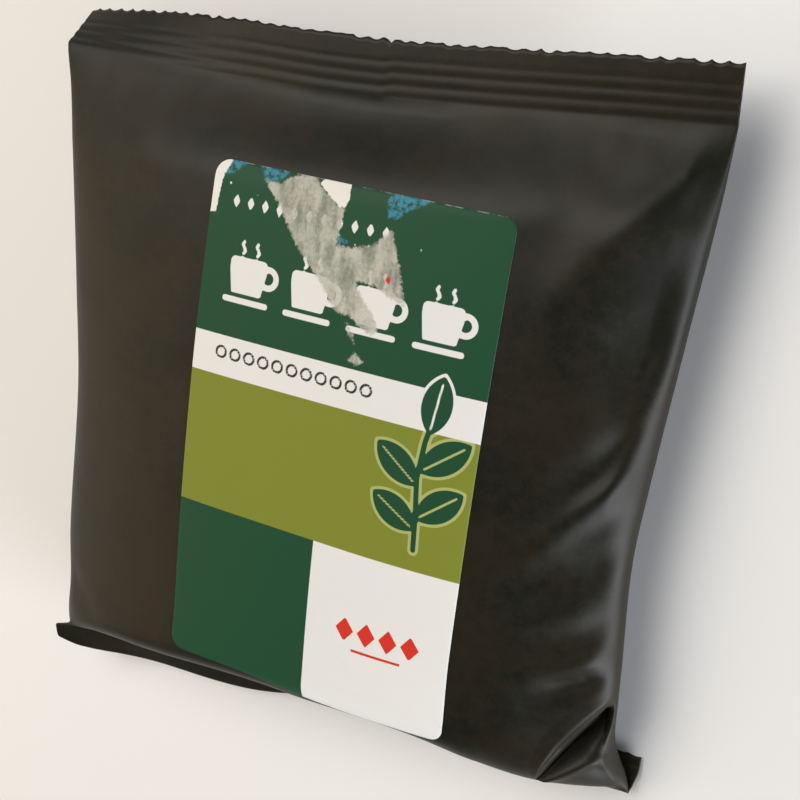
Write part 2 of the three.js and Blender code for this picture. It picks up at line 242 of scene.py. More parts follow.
# Label print, counted from its lower left corner
BAND_TOP = 68.74
BAND_BOTTOM = 60.97
OLIVE_BOTTOM = 34.16
FOOT_SPLIT = 30.3

# Label wear: torn spots and paper left by another sticker, outlines from the lower left corner
RESIDUE = [
    (10.8, 98.6), (13.9, 98.6), (16, 100.1), (20.2, 101.5), (22, 99.9), (25.9, 97.2), (27.8, 96.6),
    (27.2, 90), (30.6, 90.2), (34.6, 91.5), (37.4, 94.8), (40, 88.8), (41.2, 84.9), (42.3, 82.1),
    (38.8, 83.1), (35.8, 84.5), (31.9, 84.6), (33.7, 82), (36.4, 79.3), (37.7, 77), (37, 75.6),
    (34.3, 76.5), (31.7, 78.3), (29.2, 78.2), (23.9, 84.1), (19.1, 88.5), (14.7, 94.7), (12.4, 97),
]
RESIDUE_SLIVER = [(31.4, 76.9), (33.2, 75), (33.6, 73.5), (32, 75)]
RESIDUE_CRUMB = [(33.9, 71.8), (35.9, 70.4), (34.2, 69.6), (32.8, 70.2)]
TORN_CORNER = [(-0.5, 101), (3, 101), (1.9, 97.9), (1.6, 95.6), (1.4, 93.3), (1.3, 91.2), (-0.5, 90.8)]
TORN_TOP = [(21.9, 100), (22.6, 101), (28.1, 101), (28.4, 98.4), (27.8, 96.8), (26.6, 96.8), (24.8, 98)]
BLUE_SPOTS = [
    [(1.1, 101), (6.3, 101), (3.8, 98.8), (2.1, 98)],
    [(9, 101), (15.4, 101), (13.8, 98.9), (11.3, 98.5)],
    [(35.6, 101), (44.2, 101), (39.4, 98.2), (38.2, 96.8), (36.5, 96.7)],
    [(27.3, 91.8), (29.6, 91), (27.5, 89.9)],
]
RED_SPOT = [(38.2, 87), (38.8, 86.2), (38.5, 85.2), (37.8, 85.9)]
WHITE_SPECKS = [(3.7, 96.9, 0.28), (9.8, 95.8, 0.16), (30.8, 90.9, 0.2), (33.4, 91.1, 0.2), (43.6, 92.3, 0.2)]

# The middle of the whole bag, counted from where the seals' measures start
MIDDLE = Vector((-0.05, 1.8, 0))

# Camera, as it stood for the photograph
PICTURE_SIZE = 800
FOCAL_PIXELS = 1396
SENSOR = 36
CAMERA_PLACE = (116.518, 79.805, 241.943)
CAMERA_RIGHT = (0.89578143, 0.08881465, -0.43553139)
CAMERA_DOWN = (0.20291054, -0.95349004, 0.22289922)

# Soft lights: name, place, width and height, colour
LAMPS = [
    ("key", (-430, 555, 1010), (900, 900), (1.0, 0.96, 0.89)),
    ("glow", (-1000, -240, 620), (1300, 1000), (1.0, 0.80, 0.50)),
    ("side", (930, -520, 200), (900, 380), (0.92, 0.96, 1.0)),
]


def lerp(a, b, share):
    return a + (b - a) * share


def smoothstep(x, low, high):
    share = np.clip((x - low) / (high - low), 0, 1)
    return share * share * (3 - 2 * share)


def through(stations, place):
    """A smooth curve through a few stations (place, value)."""
    x, y = np.array(stations, float).T
    slope = np.gradient(y)
    slope[1:-1] = (y[2:] - y[:-2]) / (x[2:] - x[:-2])
    slope[0] = (y[1] - y[0]) / (x[1] - x[0])
    slope[-1] = (y[-1] - y[-2]) / (x[-1] - x[-2])
    i = np.clip(np.searchsorted(x, place) - 1, 0, len(x) - 2)
    span = x[i + 1] - x[i]
    t = np.clip((place - x[i]) / span, 0, 1)
    ease = t * t * (3 - 2 * t)
    leave = t * (1 - t) ** 2 * span * slope[i]
    arrive = t * t * (t - 1) * span * slope[i + 1]
    return lerp(y[i], y[i + 1], ease) + leave + arrive


def soft_noise(x, y, wavelength, seed, height, stretch=1):
    """Smooth random heights at every place of two arrays."""
    places = zip(np.ravel(x) / wavelength, np.ravel(y) * stretch / wavelength)
    values = [noise.noise(Vector((a, b, seed))) for a, b in places]
    return height * np.array(values).reshape(np.shape(x))


def section(u):
    return (1 - np.abs(u) ** SECTION_POWER) ** SECTION_ROOT


def seam(x):
    """The back's long lap seam: 1 on the lapped strip, 0 beside it."""
    return 1 - smoothstep(np.abs(x - SEAM_CENTRE_X), SEAM_HALF_WIDTH - SEAM_EDGE, SEAM_HALF_WIDTH)


def chord(u, t):
    """The sheet between the two sides, with no thickness: both film sheets bulge away from it."""
    side = np.where(u < 0, through(LEFT_SIDE, t), through(RIGHT_SIDE, t))
    from_foot = smoothstep(t, 0, FOOT_RISE_SHARE)
    to_head = smoothstep(t, HEAD_RISE_SHARE, 1)
    height = lerp(SIDE_HEIGHT, through(HEAD_SEAL_Z, u), to_head)
    y = lerp(through(FOOT_SEAL_Y, u), through(HEAD_SEAL_Y, u), t)
    z = lerp(through(FOOT_SEAL_Z, u), height, from_foot)
    return np.stack(np.broadcast_arrays(u * side, y, z), axis=-1)


FOOT_Y = float(through(FOOT_SEAL_Y, 0))
HEAD_Y = float(through(HEAD_SEAL_Y, 0))
NOSE_END = (NOSE_Y - FOOT_Y) / (HEAD_Y - FOOT_Y)


def crest_height(y):
    full = CREST_HEIGHT - CREST_FALL * ((y - CREST_Y) / CREST_SPAN) ** 2
    share = np.clip((y - SHOULDER_Y) / (HEAD_Y - SHOULDER_Y), 0, 1)
    fall = lerp(share**2, smoothstep(share, 0, 1), SHOULDER_HOLLOW)
    return lerp(full, through(HEAD_SEAL_Z, 0), fall)


def nose_line(share):
    """The blunt nose over the bottom seal, from under it (0) to the top of the bag (1)."""
    angle = np.radians(lerp(NOSE_START_ANGLE, 90, share))
    reach = np.cos(angle).clip(0) ** (2 / NOSE_POWER)
    rise = np.sign(angle) * np.abs(np.sin(angle)) ** (2 / NOSE_POWER)
    drop = np.where(angle < 0, NOSE_DROP, crest_height(NOSE_Y) - NOSE_HEIGHT)
    return NOSE_Y - NOSE_REACH * reach, NOSE_HEIGHT + drop * rise


def front_line(place):
    y = lerp(FOOT_Y, HEAD_Y, place)
    nose_y, nose_z = nose_line(np.clip(place / NOSE_END, 0, 1))
    return np.where(place < NOSE_END, nose_y, y), np.where(place < NOSE_END, nose_z, crest_height(y))


def back_line(place):
    """Clear of the folded fin, flat on the surface, then up to the top seal."""
    y = lerp(FOOT_Y, HEAD_Y, place)
    down = smoothstep(y, FOOT_Y, FOOT_Y + BACK_RISE_FOOT)
    up = smoothstep(y, HEAD_Y - BACK_RISE_HEAD, HEAD_Y)
    low = lerp(through(FOOT_SEAL_Z, 0), -BACK_SINK, down)
    return y, lerp(low, through(HEAD_SEAL_Z, 0), up)


def side_fade(u):
    """0 along the bag's sides and 1 inside them."""
    return smoothstep(1 - np.abs(u), 0, SIDE_FADE)


def seal_fade(place):
    """0 at both seals and 1 between them."""
    return np.minimum(1, np.minimum(place, 1 - place) / SEAL_FADE)


def beside_line(x, y, first, last):
    """Share of a line's length that every place is along it, and the place's distance to one side."""
    (ax, ay), (bx, by) = first, last
    length = math.hypot(bx - ax, by - ay)
    along = ((x - ax) * (bx - ax) + (y - ay) * (by - ay)) / length**2
    aside = ((x - ax) * (by - ay) - (y - ay) * (bx - ax)) / length
    return along, aside


def crease_depth(x, y):
    depth = np.zeros_like(x)
    for first, last, half_width, deepest in CREASES:
        along, aside = beside_line(x, y, first, last)
        reach = np.sin(np.pi * np.clip(along, 0, 1))
        depth += deepest * reach * np.exp(-((aside / half_width) ** 2))
    return depth


def line_distance(x, y, points):
    """Distance from every place to a line through points."""
    best = np.full(np.shape(x), np.inf)
    for (ax, ay), (bx, by) in zip(points, points[1:]):
        share = ((x - ax) * (bx - ax) + (y - ay) * (by - ay)) / ((bx - ax) ** 2 + (by - ay) ** 2)
        share = np.clip(share, 0, 1)
        best = np.minimum(best, np.hypot(x - lerp(ax, bx, share), y - lerp(ay, by, share)))
    return best


def corner_fold(x, y):
    """How far the fold in the lower right corner is pushed in, at places of the smooth form."""
    along, aside = beside_line(x, y, FOLD_FOOT, FOLD_HEAD)
    bow = np.sin(np.pi * np.clip(along, 0, 1)) ** FOLD_ROUNDNESS
    pushed = through(FOLD_PROFILE, aside / np.maximum(bow, 0.05)) * bow
    rim = FACET_RIM_HEIGHT * np.exp(-((line_distance(x, y, FACET_RIM) / FACET_RIM_WIDTH) ** 2))
    return pushed - rim


def label_place(x, y):
    """A place of the bag, counted from the label's middle along its own width and length."""
    dx = x - LABEL_CENTRE[0]
    dy = y - LABEL_CENTRE[1]
    cos, sin = math.cos(LABEL_TURN), math.sin(LABEL_TURN)
    return dx * cos + dy * sin, dy * cos - dx * sin


def label_distance(x, y):
    """Distance outside the label's round-cornered outline, below 0 inside it."""
    return slab(*label_place(x, y), 0, 0, LABEL_WIDTH / 2, LABEL_LENGTH / 2, LABEL_CORNER)


def near_seals(place, foot_end, head_start):
    """1 at both seals, 0 away from them."""
    near_foot = 1 - smoothstep(place, 0, foot_end)
    return np.maximum(smoothstep(place, head_start, PUCKERS_FULL), near_foot)


def wrinkles(x, y, u, place, height):
    """Small unevenness of the film, strongest along the right side and next to the seals."""
    x_share, y_share = RIPPLE_SLANT
    near_right = smoothstep(u, *RIGHT_RIPPLES)
    near_left = smoothstep(-u, *LEFT_RIPPLES)
    ripples = soft_noise(x * x_share + y * y_share, y, *RIPPLES)
    heights = soft_noise(x, y, *ROLLING) + (near_right + LEFT_RIPPLE_SHARE * near_left) * ripples
    heights += (1 + RIGHT_FINE_GAIN * near_right) * soft_noise(x, y, *FINE)
    heights += near_seals(place, *FRONT_PUCKERS) * soft_noise(x, y, *PUCKER)
    return height * heights * smoothstep(label_distance(x, y), *CALM_BY_LABEL)


def bulged(u, place, y, z):
    """The sheet between the sides, bulged out to a line along the bag's middle."""
    point, middle = chord(u, place), chord(0.0, place)
    point[..., 1] += section(u) * (y - middle[..., 1])
    point[..., 2] += section(u) * (z - middle[..., 2])
    return point


def smooth_front(u, place):
    """The front sheet without its small unevenness."""
    y, z = front_line(place)
    tuck = through(NOSE_TUCK, u) * np.maximum(0, NOSE_Y - y) / NOSE_REACH
    point = bulged(u, place, y + tuck, z)
    x, y = point[..., 0].copy(), point[..., 1].copy()
    point[..., 2] += FILM_HALF - side_fade(u) * crease_depth(x, y)
    pushed = np.minimum(1, (1 - np.abs(u)) / FOLD_FADE) * corner_fold(x, y)
    point -= pushed[..., None] * np.array(FOLD_PUSH)
    return point


def film_front(u, place, wrinkle_height):
    point = smooth_front(u, place)
    fade = side_fade(u) * seal_fade(place)
    point[..., 2] += fade * wrinkles(point[..., 0], point[..., 1], u, place, wrinkle_height)
    return point


def film_back(u, place, wrinkle_height):
    point = bulged(u, place, *back_line(place))
    point[..., 2] -= seam(point[..., 0]) * SEAM_PROUD + FILM_HALF
    fade = side_fade(u) * seal_fade(place)
    x, y = point[..., 0], point[..., 1]
    puckers = near_seals(place, *BACK_PUCKERS) * soft_noise(x, y, *BACK_PUCKER)
    point[..., 2] += wrinkle_height * fade * (soft_noise(x, y, *BACK_ROLLING) + puckers)
    point[..., 2] = np.maximum(point[..., 2], 0)
    return point


def cut_edge(x, u, fin, tooth_depth):
    """Length of a fin up to its zigzag cut edge: tips with shallow hollows between them, and a nick."""
    level = np.zeros_like(x)
    tooth = x / TOOTH_PITCH + soft_noise(x, level, DRIFT_LENGTH, fin["seed"], TOOTH_DRIFT)
    hollow = np.sin(np.pi * (tooth % 1)) ** TOOTH_ROUNDNESS
    depth = TOOTH_MEAN + soft_noise(np.floor(tooth) * TOOTH_STEP, level, 1, fin["seed"] + 3, TOOTH_SPREAD)
    nick = fin["nick"] * np.exp(-(((x - NICK_X) / NICK_HALF_WIDTH) ** 2))
    return through(fin["cut"], u) - tooth_depth * hollow * depth - nick


def rib(distance, x, depth):
    """The corrugation that the sealing jaws press into a fin, at a distance from the seal's inner line."""
    jog = RIB_JOG * smoothstep(x - SEAM_CENTRE_X, *JOG_REACH)
    place = distance + soft_noise(x, distance, *RIB_WAVER) - jog
    wave = (0.5 + 0.5 * np.cos(2 * np.pi * place / RIB_PITCH)) ** RIB_SHARPNESS
    last = RIB_PITCH * RIB_COUNT
    return depth * (RIB_RISE - 2 * wave) * (1 - smoothstep(distance, last + RIB_HOLD, last + RIB_FADE))


def fin_sheet(u, fin, is_front, sizes):
    """Points of a fin that leaves the filled part over a plain web and may fold back there."""
    seal = chord(u, fin["place"])
    lean = np.radians(through(fin["lean"], u))
    web = through(fin["web"], u)
    steps = int((web.max() + FIN_LENGTH) / FOLD_STEP) + 2
    middle = (np.arange(steps) + 0.5)[:, None] * FOLD_STEP
    folded = smoothstep(middle, web, web + FOLD_LENGTH) * fin["folds"]
    angle = lerp(lean, math.radians(FOLD_ANGLE), folded)
    run = np.vstack([np.zeros_like(u), np.cumsum(np.cos(angle), axis=0) * FOLD_STEP])
    drop = np.vstack([np.zeros_like(u), np.cumsum(np.sin(angle), axis=0) * FOLD_STEP])
    last = cut_edge(seal[:, 0], u, fin, sizes.tooth_depth / MM)
    border = np.minimum(RIB_PITCH * RIB_COUNT + RIB_FADE, last - PLAIN_BORDER)
    rows = np.array(fin_rows(fin))[:, None]
    distance = np.where(rows <= 1, np.maximum(rows, 0) * border, lerp(border, last, rows - 1))
    step = (web * np.minimum(1 + rows, 1) + distance) / FOLD_STEP
    below = np.clip(step.astype(int), 0, steps - 1)
    share = step - below
    column = np.arange(len(u))[None, :]
    run = lerp(run[below, column], run[below + 1, column], share)
    drop = lerp(drop[below, column], drop[below + 1, column], share)
    angle = angle[below, column]
    x = seal[:, 0] + through(fin["swing"], u) * smoothstep(distance, 0, SWING_REACH)
    half = lerp(FILM_HALF, FIN_HALF, smoothstep(distance, 0, RIB_PITCH))
    offset = rib(distance, x, sizes.rib_depth / MM) * (rows >= 0)
    offset = offset + (half if is_front else -half - seam(x) * SEAM_PROUD)
    if fin["outward"] > 0:
        wave = soft_noise(x, distance, *FIN_WAVE)
        offset = offset + wave * smoothstep(distance, *FIN_WAVE_REACH)
    y = seal[:, 1] + fin["outward"] * (run + np.sin(angle) * offset)
    z = seal[:, 2] - drop + np.cos(angle) * offset
    return np.stack([x, y, z], axis=-1)


HEAD_FIN = {
    "place": 1.0, "lean": HEAD_LEAN, "web": LEVEL, "cut": HEAD_CUT, "swing": LEVEL,
    "folds": False, "outward": 1, "seed": 40.5, "nick": 0.9,
}
FOOT_FIN = {
    "place": 0.0, "lean": FOOT_LEAN, "web": FOOT_WEB, "cut": FOOT_CUT, "swing": FOOT_SWING,
    "folds": True, "outward": -1, "seed": 50.5, "nick": 0,
}


def fin_rows(fin):
    """Row numbers of a fin: from -1 its web, from 0 its ribs, from 1 its plain border, 2 at its cut edge."""
    web = [k / WEB_ROWS - 1 for k in range(WEB_ROWS)] if fin["folds"] else []
    ribbed = [k / RIB_ROWS for k in range(RIB_ROWS)]
    plain = [1 + k / BORDER_ROWS for k in range(BORDER_ROWS + 1)]
    return web + ribbed + plain


def film_columns():
    """Share of the half width at every column, closer together near the sides."""
    step = np.linspace(-1, 1, FILM_COLUMNS + 1)
    return lerp(np.sin(np.pi / 2 * step), step, EVEN_SHARE)


def film_rows():
    """Place between the seals of every row of the filled part, without the seals themselves."""
    nose = np.linspace(0, NOSE_END, NOSE_ROWS, endpoint=False)
    crest = np.linspace(NOSE_END, 1, CREST_ROWS + 1)
    return np.concatenate([nose, crest])[1:-1]


def film_sheets(sizes):
    """Front and back sheets of the whole bag as arrays of points, from the bottom cut edge to the top one."""
    u = film_columns()
    filled = np.broadcast_arrays(u, film_rows()[:, None])
    sheets = []
    for is_front, filled_sheet in ((True, film_front), (False, film_back)):
        foot = fin_sheet(u, FOOT_FIN, is_front, sizes)[::-1]
        head = fin_sheet(u, HEAD_FIN, is_front, sizes)
        sheets.append(np.concatenate([foot, filled_sheet(*filled, sizes.wrinkle_height / MM), head]))
    return sheets


def divided_slab(columns, rows):
    """A slab of unit size with a grid of faces on its upper and its under side."""
    bm = bmesh.new()
    bmesh.ops.create_grid(bm, x_segments=columns - 1, y_segments=rows - 1, size=0.5)
    grown = bmesh.ops.extrude_face_region(bm, geom=bm.faces[:])
    raised = [part for part in grown["geom"] if isinstance(part, bmesh.types.BMVert)]
    bmesh.ops.translate(bm, verts=raised, vec=(0, 0, 1))
    return bm


def grid_place(corner, columns, rows):
    """Column and row of a slab's corner; a corner between the grid's lines has fractions of them."""
    return (corner.co.x + 0.5) * (columns - 1), (corner.co.y + 0.5) * (rows - 1)


def move_corners(bm, upper, lower):
    """Moves the slab's corners to two arrays of points."""
    rows, columns = upper.shape[:2]
    for corner in bm.verts:
        column, row = grid_place(corner, columns, rows)
        sheet = upper if corner.co.z > 0.5 else lower
        corner.co = (Vector(sheet[round(row), round(column)]) - MIDDLE) * MM
    bmesh.ops.recalc_face_normals(bm, faces=bm.faces[:])


def divide_fold_field(bm, upper):
    """Divides the faces round the corner fold further; returns the new corners with column and row."""
    rows, columns = upper.shape[:2]
    first_row = len(fin_rows(FOOT_FIN))
    start_x, end_y = FOLD_FIELD_START

    def in_field(corner):
        column, row = grid_place(corner, columns, rows)
        x, y, _ = upper[round(row), round(column)]
        return corner.co.z > 0.5 and row >= first_row and x > start_x and y < end_y

    inside = {corner for corner in bm.verts if in_field(corner)}
    edges = [edge for edge in bm.edges if inside.issuperset(edge.verts)]
    bmesh.ops.subdivide_edges(bm, edges=edges, cuts=FOLD_FIELD_CUTS, use_grid_fill=True)
    between = []
    for corner in bm.verts:
        column, row = grid_place(corner, columns, rows)
        if abs(column - round(column)) + abs(row - round(row)) > 0.01:
            between.append((corner, column, row - first_row))
    return between


def bag_shell(sizes):
    """The whole film bag as one closed body, finely divided round the corner fold."""
    front, back = film_sheets(sizes)
    rows, columns = front.shape[:2]
    bm = divided_slab(columns, rows)
    between = divide_fold_field(bm, front)
    move_corners(bm, front, back)
    corners, column, row = zip(*between)
    u = np.interp(column, np.arange(columns), film_columns())
    place = np.interp(row, np.arange(len(film_rows())), film_rows())
    for corner, point in zip(corners, film_front(u, place, sizes.wrinkle_height / MM)):
        corner.co = (Vector(point) - MIDDLE) * MM
    bmesh.ops.recalc_face_normals(bm, faces=bm.faces[:])
    return bm


def finished_piece(bm, name, material):
    mesh = bpy.data.meshes.new(name)
    bm.to_mesh(mesh)
    bm.free()
    mesh.shade_smooth()
    mesh.materials.append(material)
    piece = bpy.data.objects.new(name, mesh)
    bpy.context.scene.collection.objects.link(piece)
    return piece


def round_corner(x, y):
    """Draws square corner blocks of the label in to quarter discs."""
    inner_x = LABEL_WIDTH / 2 - LABEL_CORNER
    inner_y = LABEL_LENGTH / 2 - LABEL_CORNER
    dx = np.abs(x) - inner_x
    dy = np.abs(y) - inner_y
    in_corner = (dx > 0) & (dy > 0)
    shrink = np.where(in_corner, np.maximum(dx, dy) / np.maximum(np.hypot(dx, dy), 1e-9), 1)
    new_x = np.where(in_corner, np.sign(x) * (inner_x + dx * shrink), x)
    new_y = np.where(in_corner, np.sign(y) * (inner_y + dy * shrink), y)
    return new_x, new_y


def on_front(x, y):
    """Points of the smooth front sheet above places of the bag, found by stepping towards them."""
    u = x / FLAT_HALF_WIDTH
    place = (y - FOOT_Y) / (HEAD_Y - FOOT_Y)
    for _ in range(PLACE_STEPS):
        point = smooth_front(u, place)
        u = u + PLACE_DAMPING * (x - point[..., 0]) / FLAT_HALF_WIDTH
        place = place + PLACE_DAMPING * (y - point[..., 1]) / (HEAD_Y - FOOT_Y)
    return point


def outline_distance(x, y, outline):
    """Distance outside a closed outline, below 0 inside it."""
    closed = outline + outline[:1]
    inside = np.zeros(np.shape(x), bool)
    for (ax, ay), (bx, by) in zip(closed, closed[1:]):
        crosses = (ay > y) != (by > y)
        height = by - ay if by != ay else 1e-9
        inside ^= crosses & (x < ax + (y - ay) * (bx - ax) / height)
    distance = line_distance(x, y, closed)
    return np.where(inside, -distance, distance)


def lozenge(x, y, cx, cy, half_width, half_height):
    return (np.abs(x - cx) / half_width + np.abs(y - cy) / half_height - 1) * min(half_width, half_height)


def slab(x, y, cx, cy, half_width, half_height, corner=0.2):
    """Distance outside a round-cornered rectangle, below 0 inside it."""
    dx = np.abs(x - cx) - half_width + corner
    dy = np.abs(y - cy) - half_height + corner
    return np.hypot(np.maximum(dx, 0), np.maximum(dy, 0)) + np.minimum(np.maximum(dx, dy), 0) - corner


def ring(x, y, cx, cy, radius, half_line):
    return np.abs(np.hypot(x - cx, y - cy) - radius) - half_line


def leaf(x, y, base, tip, half_width):
    """A pointed leaf between its base and its tip: where two equal discs overlap."""
    (ax, ay), (bx, by) = base, tip
    half_length = math.hypot(bx - ax, by - ay) / 2
    cx, cy = (ax + bx) / 2, (ay + by) / 2
    dx, dy = (bx - ax) / (2 * half_length), (by - ay) / (2 * half_length)
    along = (x - cx) * dx + (y - cy) * dy
    aside = (y - cy) * dx - (x - cx) * dy
    shift = (half_length**2 - half_width**2) / (2 * half_width)
    radius = shift + half_width
    return np.maximum(np.hypot(along, aside - shift), np.hypot(along, aside + shift)) - radius


def cup(x, y, cx, foot, size):
    """A plain filled cup on a saucer with a ring handle."""
    bowl = np.maximum(
        slab(x, y, cx, foot + 0.55 * size, 0.42 * size, 0.36 * size, 0.1 * size),
        np.abs(x - cx) - 0.30 * size - 0.18 * (y - foot),
    )
    handle = ring(x, y, cx + 0.46 * size, foot + 0.60 * size, 0.18 * size, 0.06 * size)
    saucer = slab(x, y, cx, foot + 0.05 * size, 0.52 * size, 0.06 * size, 0.05 * size)
    return np.minimum.reduce([bowl, handle, saucer])


# Stand-in print of the label: cups in the heading's place, small marks, and a sprig on the right
CUP_PLACES = [(10, 75.4, 9.5), (23.2, 75.4, 9.5), (36.4, 75.4, 9.5), (49.6, 75.4, 9.5)]
STEAM_LIFT = 9.3
STEAM_LENGTH = 2.2
STEAM_BEND = 0.35
STEAM_HALF_LINE = 0.32
LOZENGE_ROW = (5.5, 36.5, 11, 93.9)
LOZENGE_SIZE = (0.75, 1.35)
RING_ROW = (6.2, 37.2, 11, 65.5)
RING_SIZE = (1.05, 0.24)
SPRIG_STEM = [(50.4, 38.2), (50.0, 45.0), (49.3, 52.0), (49.9, 59.0), (51.2, 65.0)]
SPRIG_LEAVES = [
    ((50.1, 42.0), (41.2, 47.6), 2.9),
    ((50.0, 44.2), (58.4, 51.0), 2.9),
    ((49.5, 50.5), (40.8, 57.2), 2.9),
    ((49.5, 53.2), (58.6, 60.4), 2.9),
    ((50.4, 60.4), (51.8, 71.6), 2.9),
]
SPRIG_OUTLINE = 0.55
STEM_HALF_LINE = 0.5
LEAF_VEIN = 0.22
VEIN_ENDS = (0.1, 0.86)
RED_ROW = (38.6, 52.2, 4, 18.6)
RED_SIZE = (1.9, 2.5)
RED_BAR = (45.4, 14.7, 5.2, 0.28)


def steam(x, y, cx, foot):
    """A short wavy line over a cup."""
    bends = [STEAM_BEND * math.sin(k * 1.5) for k in range(5)]
    points = [(cx + bend, foot + STEAM_LENGTH * k / 4) for k, bend in enumerate(bends)]
    return line_distance(x, y, points) - STEAM_HALF_LINE


def row_places(first, last, count, height):
    """Places of marks spread evenly over a row."""
    return [(lerp(first, last, k / (count - 1)), height) for k in range(count)]


def white_print(x, y):
    marks = [cup(x, y, *place) for place in CUP_PLACES]
    for cx, foot, size in CUP_PLACES:
        for aside in (-0.16 * size, 0.16 * size):
            marks.append(steam(x, y, cx + aside, foot + STEAM_LIFT))
    marks += [lozenge(x, y, *place, *LOZENGE_SIZE) for place in row_places(*LOZENGE_ROW)]
    return np.minimum.reduce(marks)


def dark_print(x, y):
    return np.minimum.reduce([ring(x, y, *place, *RING_SIZE) for place in row_places(*RING_ROW)])


def sprig_print(x, y):
    leaves = [leaf(x, y, *shape) for shape in SPRIG_LEAVES]
    return np.minimum.reduce(leaves + [line_distance(x, y, SPRIG_STEM) - STEM_HALF_LINE])


def vein_print(x, y):
    veins = []
    for (ax, ay), (bx, by), _ in SPRIG_LEAVES:
        ends = [(lerp(ax, bx, share), lerp(ay, by, share)) for share in VEIN_ENDS]
        veins.append(line_distance(x, y, ends) - LEAF_VEIN)
    return np.minimum.reduce(veins)


def red_print(x, y):
    marks = [lozenge(x, y, *place, *RED_SIZE) for place in row_places(*RED_ROW)]
    return np.minimum.reduce([*marks, slab(x, y, *RED_BAR)])


def nearest(x, y, outlines):
    return np.minimum.reduce([outline_distance(x, y, outline) for outline in outlines])


def wear_outlines(x, y):
    """Distances outside each kind of wear on the label, below 0 inside it."""
    specks = [np.hypot(x - cx, y - cy) - radius for cx, cy, radius in WHITE_SPECKS]
    return {
        "residue": nearest(x, y, [RESIDUE, RESIDUE_SLIVER, RESIDUE_CRUMB]),
        "torn": np.minimum.reduce([nearest(x, y, [TORN_CORNER, TORN_TOP]), *specks]),
        "blue": nearest(x, y, BLUE_SPOTS),
        "red_spot": nearest(x, y, [RED_SPOT]),
    }


def feed(tree, node, feeds):
    """Gives inputs of a node their values or sockets."""
    for key, value in feeds.items():
        if isinstance(value, bpy.types.NodeSocket):
            tree.links.new(value, node.inputs[key])
        else:
            node.inputs[key].default_value = value


def add_node(tree, kind, feeds=None, **settings):
    """A shader node with its settings, and values or sockets fed to its inputs."""
    made = tree.nodes.new("ShaderNode" + kind)
    for name, value in settings.items():
        setattr(made, name, value)
    feed(tree, made, feeds or {})
    return made


def calculate(tree, operation, a, b=0.0):
    return add_node(tree, "Math", {0: a, 1: b}, operation=operation).outputs[0]


def times(tree, a, b):
    return calculate(tree, "MULTIPLY", a, b)


def noise_at(tree, place, scale, detail=2.0, roughness=0.5):
    feeds = {"Vector": place, "Scale": scale, "Detail": detail, "Roughness": roughness}
    return add_node(tree, "TexNoise", feeds).outputs[0]


def ramp(tree, value, low, high, to_low=0.0, to_high=1.0):
    feeds = {0: value, 1: low, 2: high, 3: to_low, 4: to_high}
    return add_node(tree, "MapRange", feeds, interpolation_type="SMOOTHSTEP").outputs[0]


def blend(tree, share, first, second):
    return add_node(tree, "Mix", {0: share, 6: first, 7: second}, data_type="RGBA").outputs[2]


def new_material(name):
    material = bpy.data.materials.new(name)
    material.use_nodes = True
    tree = material.node_tree
    shader = next(n for n in tree.nodes if n.type == "BSDF_PRINCIPLED")
    return material, tree, shader


def finish_shader(tree, shader, colour, rough, shine, relief, strength):
    """Gives a material its colour, roughness, shine and the relief that is too small to model."""
    bump = add_node(tree, "Bump", {"Strength": strength, "Distance": BUMP_DEPTH * MM, "Height": relief})
    feeds = {"Base Color": colour, "Roughness": rough, "Specular IOR Level": shine}
    feed(tree, shader, {**feeds, "Normal": bump.outputs[0]})


def weighted(tree, *terms):
    """The sum of some values, each times its weight."""
    total = 0.0
    for value, weight in terms:
        part = times(tree, value, weight)
        total = calculate(tree, "ADD", part, total)
    return total


# Relief that only the finish carries: its depth in millimetres and its strength on each surface
BUMP_DEPTH = 0.12
FILM_BUMP = 0.35
PAPER_BUMP = 0.4

# Noise scales of the film's and the cut edge's finish, per metre
PATCHES = 48
MOTTLE = 420
GRAIN = 1500
DUST_CELLS = 95
DUST_DRIFTS = 60
EDGE_FIBRE = 1800


def film_material(finish):
    """Matte black film: brown and olive patches, fine mottling, specks of dust and a soft uneven sheen."""
    material, tree, shader = new_material("matte_film")
    place = add_node(tree, "TexCoord").outputs["Object"]
    patches = noise_at(tree, place, PATCHES, 2)
    mottle = noise_at(tree, place, MOTTLE, 3, 0.6)
    grain = noise_at(tree, place, GRAIN, 2)
    tint = ramp(tree, weighted(tree, (patches, 0.5), (mottle, 0.3), (grain, 0.2)), 0.4, 0.6)
    colour = blend(tree, tint, finish.shade_colour, finish.film_colour)
    cells = add_node(tree, "TexVoronoi", {"Vector": place, "Scale": DUST_CELLS, "Randomness": 1.0})
    speck = ramp(tree, cells.outputs["Distance"], 0.016, 0.03, 1.0, 0.0)
    drift = ramp(tree, noise_at(tree, place, DUST_DRIFTS, 1), 0.60, 0.64)
    dust = times(tree, speck, drift)
    colour = blend(tree, dust, colour, finish.dust_colour)
    sheen = weighted(tree, (mottle, 0.10), (patches, 0.08))
    rough = calculate(tree, "ADD", sheen, finish.film_roughness - 0.09)
    relief = weighted(tree, (mottle, 0.7), (grain, 0.18))
    finish_shader(tree, shader, colour, rough, finish.film_shine, relief, FILM_BUMP)
    return material


def mask(tree, name, soft=0.07, push=None):
    """1 inside the outline whose distance an attribute holds, 0 outside, with an edge moved by push."""
    distance = add_node(tree, "Attribute", attribute_name=name).outputs["Fac"]
    if push is not None:
        distance = calculate(tree, "ADD", distance, push)
    return ramp(tree, distance, -soft, soft, 1.0, 0.0)


def side_of(tree, value, border):
    """0 below a border of the print, 1 above it, with a narrow soft edge; the border is in millimetres."""
    scale = LABEL_UV * MM
    return ramp(tree, value, (border - PRINT_SOFTNESS) * scale, (border + PRINT_SOFTNESS) * scale)


